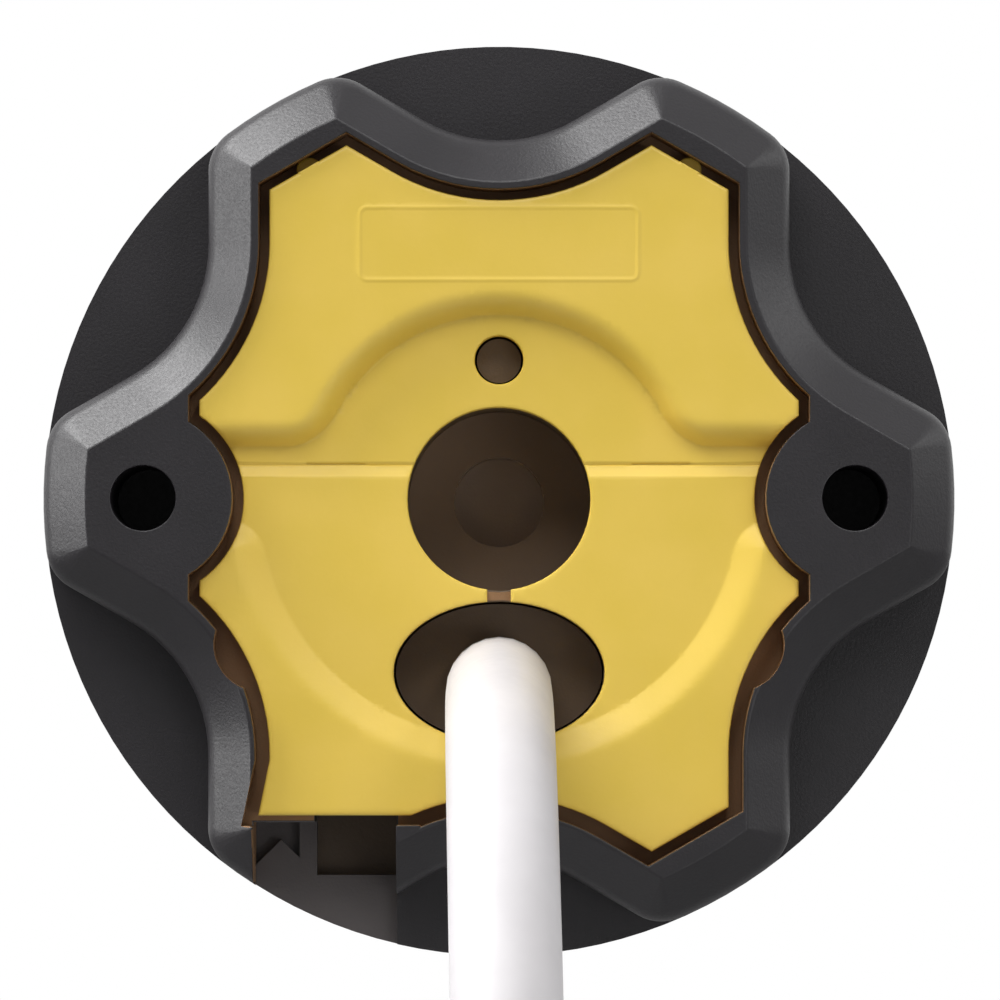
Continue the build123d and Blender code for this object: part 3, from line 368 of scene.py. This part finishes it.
add_plastic("tie_plastic", (228, 228, 226), (238, 238, 236), 0.35, grain=0.5, depth=0.01)
add_plastic("circuit_board", (20, 92, 48), (26, 104, 56), 0.3, grain=0.5, depth=0.006)
add_plastic("wire_insulation", (96, 58, 34), (106, 66, 40), 0.35, grain=0.5, depth=0.005)
add_plastic("friction_lining", (60, 52, 44), (84, 74, 62), 0.8, grain=0.4, depth=0.05, gloss=0.2)

# %% Two-coloured insulation of the earth core
stripe_width = 1.15 * MM
wave_length_at_scale_1 = pi / 10
insulation_rough = 0.4

tree, shader, place = start_finish("earth_insulation")
stripes = tree.nodes.new("ShaderNodeTexWave")
stripes.bands_direction = "X"
stripes.inputs["Scale"].default_value = wave_length_at_scale_1 / (2 * stripe_width)
tree.links.new(place, stripes.inputs["Vector"])
green_and_yellow = between(tree, stripes.outputs["Fac"], (48, 138, 62), (222, 206, 58))
tree.links.new(green_and_yellow, shader.inputs["Base Color"])
shader.inputs["Roughness"].default_value = insulation_rough

# %% [markdown]
# The drawn tube has fine lines along its length under a zinc coat. Laminated stacks show their
# sheets as thin rings.

# %% Finishes of metal
long_lines = (1, 40, 1)
thin_rings = (40, 1, 40)
add_metal("zinc_steel", (192, 196, 200), (200, 203, 207), 0.4, brush=long_lines)
add_metal("bright_steel", (178, 178, 180), (196, 196, 198), 0.3)
add_metal("iron", (92, 92, 95), (112, 112, 115), 0.5, depth=0.01)
add_metal("aluminium", (190, 191, 194), (206, 207, 210), 0.45, depth=0.01)
add_metal("copper", (168, 92, 52), (190, 110, 66), 0.35, brush=(1, 0.2, 1))
add_metal("brass", (186, 152, 84), (202, 170, 104), 0.35)
add_metal("lamination_steel", (96, 96, 100), (120, 120, 124), 0.45, brush=thin_rings)
print("finishes:", len(finishes))

# %% Every imported part in its finish, the plug and the button in painted light
slot_of = {part["node"]: part["material_slot"] for part in frame["record"]["subparts"]}
# the lead's plug and the setting button get painted light in place of their own dark colour
finish_of = {**slot_of, "cable_plug": "plug_painted_light", "setting_button": "brown_painted_light"}
for node, part in frame["nodes"].items():
    for holder in part.material_slots:
        holder.material = finishes[finish_of[node]]

# %% [markdown]
# ## Copies of the moulded parts
#
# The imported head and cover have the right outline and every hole, but their edges are perfectly
# sharp, which no moulding is. Modelling them again from nothing would only bring new errors.
# Instead each gets a copy: its doubles are merged, its flat faces made whole, and then the copy is
# shaped further with bevels and moves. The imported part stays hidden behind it.

# %% Helpers for shaped copies
smallest_edge = 0.002 * MM
collapsed_edge = 0.0005 * MM
plane_thickness = 0.0001 * MM
flat_angle = 0.5


def merged_copy(node):
    """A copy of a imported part's mesh with its doubles merged and its flat faces whole."""
    mesh = bmesh.new()
    mesh.from_mesh(frame["nodes"][node].data)
    bmesh.ops.remove_doubles(mesh, verts=mesh.verts, dist=smallest_edge)
    bmesh.ops.dissolve_limit(
        mesh, angle_limit=radians(flat_angle), verts=mesh.verts, edges=mesh.edges
    )
    return mesh


def round_edges(mesh, edges, width, segments=2):
    """Rounds the given edges, each by the same width."""
    bmesh.ops.bevel(
        mesh,
        geom=edges,
        offset=width,
        offset_type="OFFSET",
        affect="EDGES",
        segments=segments,
        profile=0.5,
        material=-1,
        clamp_overlap=False,
    )
    bmesh.ops.dissolve_degenerate(mesh, edges=mesh.edges, dist=collapsed_edge)


def cut_across(mesh, direction, places):
    """Cuts the mesh by a plane at each distance along the direction."""
    for place in places:
        bmesh.ops.bisect_plane(
            mesh,
            geom=mesh.verts[:] + mesh.edges[:] + mesh.faces[:],
            dist=plane_thickness,
            plane_co=Vector(direction) * place,
            plane_no=direction,
        )


def shaped_part(name, mesh, node, body="root", smooth_below=25):
    """Makes the mesh an object that stands for the node, with smooth faces and crisp corners."""
    for face in mesh.faces:
        face.smooth = True
    for edge in mesh.edges:
        edge.smooth = len(edge.link_faces) == 2 and edge.calc_face_angle(0) < radians(smooth_below)
    data = bpy.data.meshes.new(name)
    mesh.to_mesh(data)
    volume = mesh.calc_volume()
    loose = sum(len(edge.link_faces) != 2 for edge in mesh.edges)
    mesh.free()
    piece = add_object(name, data)
    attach(piece, body)
    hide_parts(node)
    data.materials.append(finishes[slot_of[node]])
    even = piece.modifiers.new("even_light", "WEIGHTED_NORMAL")
    even.keep_sharp = True
    print(f"{name}: {len(data.polygons)} faces, {volume / MM**3:.0f} mm3, open edges {loose}")
    return piece


# %% [markdown]
# ## The yellow cover
#
# The real cover is one moulding with a very soft relief: a raised upper field that rolls over into
# the dish along an arch and two shoulders, a thin sloped step across the middle, and two lower
# fields that rise again outside a ring. A thin bead draws a long frame on the upper field.
# Sculpting that would be hard to repeat, and a stack of plates would look cut out. So the front is
# first made flat, its outline rounded, and the whole then cut into small cells. Each of its corners
# is set to the height that the relief has there.

# %% Heights of the cover's relief
upper_level = 0.6 * MM
dish_level = 2.4 * MM
arch_radius = 12.4 * MM
arch_slope = 1.7 * MM
roll_power = 2.2
shoulder_height = 3.5 * MM
shoulder_corner = 2.4 * MM
step_top = 2.2 * MM
step_bottom = 1.5 * MM
step_rise = 0.35 * MM
groove_height = 2.33 * MM
groove_depth = 0.2 * MM
groove_width = 0.12 * MM
ridge_radius = 16.25 * MM
ridge_slope = 2.2 * MM
ridge_bend = 0.7
ridge_top = -1.5 * MM
ridge_corner = 2 * MM
outer_rise = 0.8 * MM
frame_half_width = 9.4 * MM
frame_half_height = 2.45 * MM
frame_middle = 17.2 * MM
frame_corner = 0.5 * MM
bead_half_width = 0.16 * MM
bead_height = 0.035 * MM


def inside_corner(first, second, radius):
    """How far a place lies inside two sides whose common corner is rounded."""
    cut = hypot(max(radius - first, 0), max(radius - second, 0))
    return max(min(first, second) - radius, 0) + radius - cut


def inside_upper_field(x, z):
    """How far a place lies inside the raised field above the arch and the shoulders."""
    return inside_corner(hypot(x, z) - arch_radius, z - shoulder_height, shoulder_corner)


def inside_lower_field(x, z):
    """How far a place lies inside the two fields below the step and outside the ring."""
    return inside_corner(hypot(x, z) - ridge_radius, ridge_top - z, ridge_corner)


def kept_to_one(share):
    """The share, kept between 0 and 1."""
    return min(max(share, 0), 1)


def rolled_slope(share):
    """A slope that starts steeply at 0 and rolls over to level at 1."""
    return 1 - (1 - kept_to_one(share)) ** roll_power


def straight_slope(share):
    """A slope that starts with a crease at 0, runs straight up to the bend and is level at 1."""
    share = kept_to_one(share)
    past_bend = max(share - ridge_bend, 0)
    return (share - past_bend ** 2 / 2 / (1 - ridge_bend)) * 2 / (1 + ridge_bend)


def frame_bead(x, z):
    """Height of the thin bead that frames the middle of the upper field."""
    along = max(abs(x) - frame_half_width + frame_corner, 0)
    across = max(abs(z - frame_middle) - frame_half_height + frame_corner, 0)
    if along == 0 and across == 0:
        return 0
    from_line = abs(hypot(along, across) - frame_corner)
    return bead_height * max(1 - (from_line / bead_half_width) ** 2, 0)


def cover_level(x, z):
    """How deep the cover's front lies behind the mounting face at one place."""
    level = dish_level
    level -= (dish_level - upper_level) * rolled_slope(inside_upper_field(x, z) / arch_slope)
    level -= frame_bead(x, z)
    level += groove_depth * max(1 - abs(z - groove_height) / groove_width, 0)
    level -= step_rise * kept_to_one((step_top - z) / (step_top - step_bottom))
    return level - outer_rise * straight_slope(inside_lower_field(x, z) / ridge_slope)


# %% Cover: flat plate with a rounded outline
cover_back = 4.4 * MM
cover_rounding = 0.22 * MM
outline_angle = 60
straight_back = 0.99

cover = merged_copy("front_cover")
others = [face for face in cover.faces if face.normal.y < straight_back]
bmesh.ops.delete(cover, geom=others, context="FACES")
extruded = bmesh.ops.extrude_face_region(cover, geom=cover.faces[:], use_keep_orig=True)["geom"]
front_corners = [part for part in extruded if isinstance(part, bmesh.types.BMVert)]
bmesh.ops.translate(cover, verts=front_corners, vec=(0, -cover_back, 0))
bmesh.ops.recalc_face_normals(cover, faces=cover.faces)
outline = [
    edge for edge in cover.edges
    if all(corner.co.y < hair for corner in edge.verts)
    and edge.calc_face_angle(0) > radians(outline_angle)
]
round_edges(cover, outline, cover_rounding)
bmesh.ops.triangulate(cover, faces=cover.faces, quad_method="BEAUTY", ngon_method="BEAUTY")
print("edges rounded:", len(outline))

# %% [markdown]
# The cells are finer where the relief asks for it: on the bead, in the groove and at the foot of
# each slope. Two pegs stick out past the ends of the upper arms, and lie deeper than the arms.

# %% Cover: cut into cells and raised
cover_cell = 0.35 * MM
arm_reach = 25.8 * MM
arm_lean = pi / 6
peg_level = 3 * MM
bead_cuts = [bead_half_width * share for share in (-3, -2, -1, -0.5, 0, 0.5, 1)]


def evenly(low, high):
    """Evenly spaced places from low to high, a cell apart."""
    count = int((high - low) / cover_cell)
    return [low + cover_cell * (index + 0.5) for index in range(count)]


def both_sides(middle, half):
    """Where to cut for the bead along two opposite sides of the frame."""
    return [middle + side * (half + line) for side in (-1, 1) for line in bead_cuts]


def past_the_arm(corner):
    """True for a corner of the two pegs."""
    reach = abs(corner.co.x) * sin(arm_lean) + corner.co.z * cos(arm_lean)
    return reach > arm_reach + 2 * hair


def near_a_foot(edge):
    """True on the front where a slope starts, which needs smaller cells."""
    x, depth, z = (edge.verts[0].co + edge.verts[1].co) / 2
    if depth > cover_rounding / 2:
        return False
    return min(abs(inside_upper_field(x, z)), abs(inside_lower_field(x, z))) < cover_cell


low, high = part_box("front_cover")
for side in (-1, 1):
    arm = (side * sin(arm_lean), 0, cos(arm_lean))
    cut_across(cover, arm, [arm_reach + hair, arm_reach + 3 * hair])
cut_across(cover, (1, 0, 0), evenly(low.x, high.x) + both_sides(0, frame_half_width))
step_lines = [groove_height - groove_width, groove_height, groove_height + groove_width]
step_lines += [step_top, step_bottom]
frame_lines = both_sides(frame_middle, frame_half_height)
cut_across(cover, (0, 0, 1), evenly(low.z, high.z) + step_lines + frame_lines)
feet = [edge for edge in cover.edges if near_a_foot(edge)]
bmesh.ops.subdivide_edges(cover, edges=feet, cuts=2, use_grid_fill=True)
for corner in cover.verts:
    level = peg_level if past_the_arm(corner) else cover_level(corner.co.x, corner.co.z)
    corner.co.y = level + corner.co.y * (1 - level / cover_back)
shaped_part("yellow_cover", cover, "front_cover")

# %% [markdown]
# ## The black head
#
# The head is a glass-filled moulding with plump edges. The star's outer rim is the roundest. The
# crest, where its bevels meet the front face, and the lip round the pocket and the holes are finer,
# because the front face between them is narrow.

# %% Head with soft edges
star_depth = 9 * MM
rim_angles = (40, 50)
lip_angles = (60, 120)
outer_rim_edge = 0.8 * MM
crest_edge = 0.13 * MM
lip_edge = 0.11 * MM
crest_depth = 0.11 * MM
casing = merged_copy("head_casing")


def star_edges(least, most):
    """The star's outward edges whose faces meet at an angle between least and most degrees."""
    return [
        edge for edge in casing.edges
        if edge.is_convex
        and radians(least) < edge.calc_face_angle(0) < radians(most)
        and all(corner.co.y < star_depth - 10 * hair for corner in edge.verts)
    ]


outer_rim = [edge for edge in star_edges(*rim_angles) if edge.verts[0].co.y > crest_depth]
print("outer rim edges:", len(outer_rim))
round_edges(casing, outer_rim, outer_rim_edge, segments=3)
crest = [edge for edge in star_edges(*rim_angles) if edge.verts[0].co.y < crest_depth]
print("crest edges:", len(crest))
round_edges(casing, crest, crest_edge)
lip = star_edges(*lip_angles)
print("lip edges:", len(lip))
round_edges(casing, lip, lip_edge)
head = shaped_part("black_head", casing, "head_casing")

# %% [markdown]
# Some of the head's faces get painted light or painted shade in place of the plain black: painted
# light in the pocket under the cover, the sockets in its middle, and the lead's second way out at
# the lower left with the well beside it, and painted shade on the flange. The two boxes give that
# outlet and well as ranges in X, Y and Z, in millimetres.

# %% Painted light and shade on the head's faces
pocket_start = 0.25 * MM
pocket_depth = 4.4 * MM
socket_depth = 20.5 * MM
centre_depth = 14 * MM
centre_reach = 6.6 * MM
oval_reach = 8 * MM
oval_drop = 11.75 * MM
flange_inside = 14 * MM
flange_back = 12.7 * MM
inward_share = 0.3
forward_share = 0.9
well_box = ((-12.6, -6.95), (10.4, 12.4), (-25.7, -16))
outlet_box = ((-16.8, -6.95), (4.4, 12), (-32, -21.85))
# the head's plain black first, then the painted light of its shaded faces and the painted shade of
# its flange
head_finishes_and_painted_shading = [
    "black_plastic",
    "brown_painted_light",
    "socket_painted_light",
    "deepest_painted_light",
    "flange_painted_shade",
    "outlet_painted_light",
    "pocket_painted_light",
]


def in_box(place, box):
    """True where the place lies inside the box."""
    return all(low * MM < value < high * MM for value, (low, high) in zip(place, box))


def in_the_pocket(face):
    """True for the pocket's floor and walls."""
    place = face.center
    outwards = place.x * face.normal.x + place.z * face.normal.z
    wall = outwards < -inward_share * hypot(place.x, place.z)
    floor_of_it = face.normal.y < -forward_share
    return pocket_start < place.y < pocket_depth + hair and (wall or floor_of_it)


def in_a_socket(face):
    """True for the faces of the centre socket and the oval socket, beyond the pocket."""
    corners = [head.data.vertices[index].co for index in face.vertices]
    in_centre = all(hypot(corner.x, corner.z) < centre_reach for corner in corners)
    in_oval = all(hypot(corner.x, corner.z + oval_drop) < oval_reach for corner in corners)
    return pocket_depth + hair <= face.center.y < socket_depth and (in_centre or in_oval)


def head_finish_or_painted_shading(face):
    """The finish of one face of the head, or the painted light or painted shade put on it."""
    depth = face.center.y
    # painted light on the well, the outlet, the pocket and the sockets, lighter the deeper they lie
    if in_box(face.center, well_box):
        return "brown_painted_light"
    if in_box(face.center, outlet_box):
        return "outlet_painted_light"
    if in_the_pocket(face):
        return "pocket_painted_light"
    if in_a_socket(face):
        if depth <= centre_depth - 20 * hair:
            return "brown_painted_light"
        return "deepest_painted_light" if depth > centre_depth + 20 * hair else "socket_painted_light"
    # painted shade on the flange
    beyond_star = hypot(face.center.x, face.center.z) > flange_inside
    if beyond_star and star_depth - 10 * hair < depth < flange_back:
        return "flange_painted_shade"
    return "black_plastic"


for name in head_finishes_and_painted_shading[1:]:
    head.data.materials.append(finishes[name])
for face in head.data.polygons:
    face.material_index = head_finishes_and_painted_shading.index(head_finish_or_painted_shading(face))
for index, name in enumerate(head_finishes_and_painted_shading):
    print(name, "faces:", sum(face.material_index == index for face in head.data.polygons))

# %% [markdown]
# ## The crown, the drive wheel, the coil's tie and the end cap
#
# These are plain mouldings. A small bevel on every sharp edge gives them the thin highlights that
# a moulded edge has.

# %% Mouldings with soft edges
sharp_angle = 40


def soft_moulding(name, node, body, width):
    """A copy of a moulded part with all its sharp edges rounded by the width."""
    mesh = merged_copy(node)
    sharp = [
        edge for edge in mesh.edges
        if edge.is_convex and edge.calc_face_angle(0) > radians(sharp_angle)
    ]
    round_edges(mesh, sharp, width)
    return shaped_part(name, mesh, node, body=body)


soft_moulding("black_crown", "crown", "crown", 0.25 * MM)
soft_moulding("black_drive_wheel", "drive_wheel", "output", 0.25 * MM)
tie = soft_moulding("white_tie", "coil_tie", "root", 0.3 * MM)
soft_moulding("black_end_cap", "gearbox_end_cap", "root", 0.3 * MM)

# %% [markdown]
# ## The bare cores at the lead's end
#
# Each core is stripped at its tip. The copy of the four cores is cut across near the tips, and
# what lies beyond is shrunk round each core's own axis to the size of the copper in it.

# %% Cores with stripped tips
stripped_length = 7 * MM
copper_share = 0.6
place_digits = 4
core_finishes = ["wire_insulation", "blue_plastic", "black_plastic", "earth_insulation", "copper"]


def islands(mesh):
    """The separate bodies of the mesh, each as a list of its corners."""
    left = set(mesh.verts)
    found = []
    for start in mesh.verts:
        if start not in left:
            continue
        left.remove(start)
        body = [start]
        for corner in body:
            for edge in corner.link_edges:
                other = edge.other_vert(corner)
                if other in left:
                    left.remove(other)
                    body.append(other)
        found.append(body)
    return found


def middle_of(corners):
    """The mean place of the corners."""
    return sum((corner.co for corner in corners), Vector()) / len(corners)


def sorting_place(corners):
    """The mean place to a tenth of a millimetre, by which the cores are put in order."""
    return [round(part, place_digits) for part in middle_of(corners)]


cores = merged_copy("conductors")
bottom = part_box("conductors")[0]
strip_height = bottom.z + stripped_length
cut_across(cores, (0, 0, 1), [strip_height, strip_height - 2 * hair])
single_cores = sorted(islands(cores), key=sorting_place)
for order, body in enumerate(single_cores):
    tip = [corner for corner in body if corner.co.z < strip_height - hair]
    towards_axis = Matrix.Translation(-middle_of(tip))
    bmesh.ops.scale(cores, vec=(copper_share, copper_share, 1), space=towards_axis, verts=tip)
    for face in {face for corner in body for face in corner.link_faces}:
        bare = face.calc_center_median().z < strip_height - hair / 2
        face.material_index = core_finishes.index("copper") if bare else order
print("cores:", len(single_cores))
core_ends = shaped_part("lead_cores", cores, "conductors")
for name in core_finishes[1:]:
    core_ends.data.materials.append(finishes[name])

# %% [markdown]
# ## The brake's spring
#
# When the brake is released, its armature comes nearer to the motor and presses the spring
# together, while the spring's other end stays where it is. Here the spring is a smooth copy that
# rides on the rotor, with a mesh of its own.

# %% Spring on the rotor, with a mesh of its own
spring = shaped_part(
    "spring_wire", merged_copy("brake_spring"), "brake_spring", body="rotor", smooth_below=70
)
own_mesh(spring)

# %% [markdown]
# ## The mains lead
#
# The lead comes straight out of the oval opening, bends down under its own weight and hangs in
# front of the head. What the picture doesn't show of its 2.5 m is wound into a round coil of four
# layers below, held by a strap, as such motors are packed.
#
# One smooth spline carries the whole lead. Its control points are the route's points; in the coil,
# every half turn is an arc about the middle of its two ends, and the arcs that climb to the next
# layer are tilted the same way.

# %% Route of the lead
cable_diameter = 7.2 * MM
lead_points = [
    Vector((0, 8, -12.9)) * MM,
    Vector((0, -14, -12.9)) * MM,
    Vector((0.3, -33, -23.9)) * MM,
    Vector((0.7, -44, -43)) * MM,
    Vector((1.4, -44.6, -66)) * MM,
    Vector((10.2, -44.6, -86.6)) * MM,
    Vector((25.8, -44.6, -102.2)) * MM,
]
tail_steps = [Vector((-11, 0, -11)) * MM, Vector((-6, 0, -15)) * MM, Vector((0.4, 0, -16)) * MM]
coil_outer_radius = 49.2 * MM
coil_gap = 1.7 * MM
coil_layers = 4
coil_half_turns = 4
points_per_half_turn = 12

coil_pitch = cable_diameter + coil_gap
down_right = Vector((sqrt(1 / 2), 0, -sqrt(1 / 2)))
up_right = Vector((sqrt(1 / 2), 0, sqrt(1 / 2)))
coil_start = lead_points[-1] + down_right * cable_diameter
coil_centre = coil_start - up_right * coil_outer_radius


def coil_crossings():
    """Where the coil crosses its slanted diameter, half a turn apart, with the heading there."""
    radius = coil_outer_radius
    rise = 0
    side = 1
    places = [(coil_start, down_right)]
    for layer in range(coil_layers):
        inwards = -1 if layer % 2 == 0 else 1
        last = layer == coil_layers - 1
        steps = [(inwards * coil_pitch / 2, 0)] * (coil_half_turns - last)
        if not last:
            steps.append((0, coil_pitch))
        for grow, climb in steps:
            radius += grow
            rise += climb
            side = -side
            place = coil_centre + up_right * (side * radius) + Vector((0, rise, 0))
            places.append((place, down_right * side))
    return places, radius


def arc_points(start, heading, end, share=1):
    """Control points along a half turn from start to end, or along a share of it."""
    middle = (start + end) / 2
    reach = (end - start).length / 2
    keep = (1 + cos(pi / points_per_half_turn / 2)) / 2
    points = []
    for index in range(round(points_per_half_turn * share)):
        angle = pi * (index + 0.5) / points_per_half_turn
        back_to_start = (end - start) / 2 * (cos(angle) / keep)
        points.append(middle + heading * (reach / keep * sin(angle)) - back_to_start)
    return points


crossings, last_radius = coil_crossings()
route = list(lead_points)
for (start, heading), (end, _) in zip(crossings, crossings[1:]):
    route += arc_points(start, heading, end)
start, heading = crossings[-1]
quarter_radius = last_radius + coil_pitch / 4
inward = coil_centre - start
inward.y = 0
inward = inward.normalized()
route += arc_points(start, heading, start + inward * 2 * quarter_radius, share=0.5)
route.append(start + heading * quarter_radius + inward * quarter_radius + inward * cable_diameter)
for step in tail_steps:
    route.append(route[-1] + step)
print("points along the lead:", len(route))

# %% Lead as a smooth tube
cable_fineness = 10
lead_data = bpy.data.curves.new("mains_lead", "CURVE")
lead_data.dimensions = "3D"
lead_data.bevel_depth = cable_diameter / 2
lead_data.bevel_resolution = cable_fineness
lead_data.use_fill_caps = True
lead_data.resolution_u = cable_fineness
spline = lead_data.splines.new("NURBS")
spline.points.add(len(route) - 1)
for point, place in zip(spline.points, route):
    point.co = (*place, 1)
spline.order_u = 3
spline.use_endpoint_u = True
lead = add_object("mains_lead", lead_data)
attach(lead, "root")
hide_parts("cable_lead", "cable_coil", "cable_tail")
lead_data.materials.append(finishes["white_cable"])
